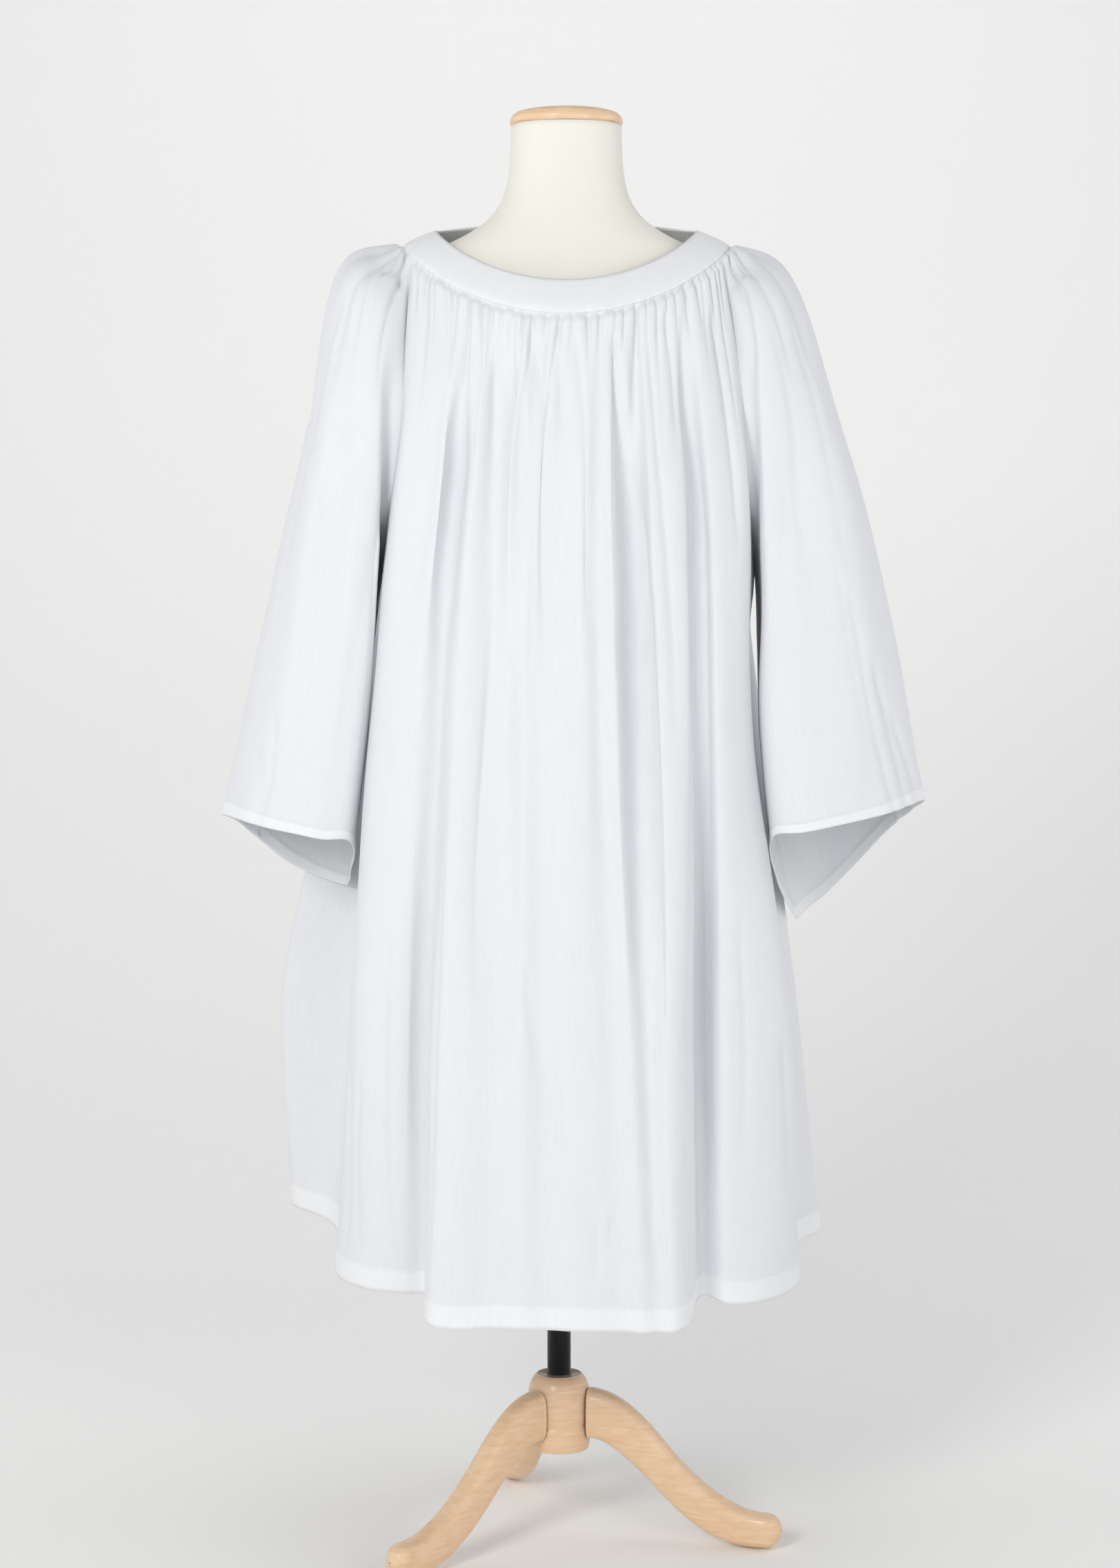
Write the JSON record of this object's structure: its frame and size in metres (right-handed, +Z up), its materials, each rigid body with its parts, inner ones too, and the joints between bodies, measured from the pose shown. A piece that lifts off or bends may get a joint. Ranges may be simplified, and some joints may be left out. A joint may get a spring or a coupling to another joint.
{
  "type": "surplice on a dress form",
  "caption": "White gathered choir surplice with a round yoke and wide raglan sleeves, on a limbless dress form with a wooden tripod stand.",
  "frame": {"origin": "on the floor, at the middle of the bounding box's underside, close below the pole of the stand", "axes": "+Z up, +X towards the wearer's left, the garment's front faces -Y"},
  "size_m": [0.7682, 0.4933, 1.562],
  "materials": {
    "surplice_cloth": "plain woven white polyester and cotton",
    "form_cover": "cream jersey, stretched",
    "stand_wood": "light varnished beech",
    "stand_pole": "black satin lacquer"
  },
  "bodies": {
    "root": {"yoke": "surplice_cloth", "front": "surplice_cloth", "back": "surplice_cloth", "sleeve_left": "surplice_cloth", "sleeve_right": "surplice_cloth", "form_torso": "form_cover", "form_neck_cap": "stand_wood", "form_hub": "stand_wood", "form_leg_1": "stand_wood", "form_leg_2": "stand_wood", "form_leg_3": "stand_wood", "form_pole": "stand_pole"}
  },
  "joints": []
}
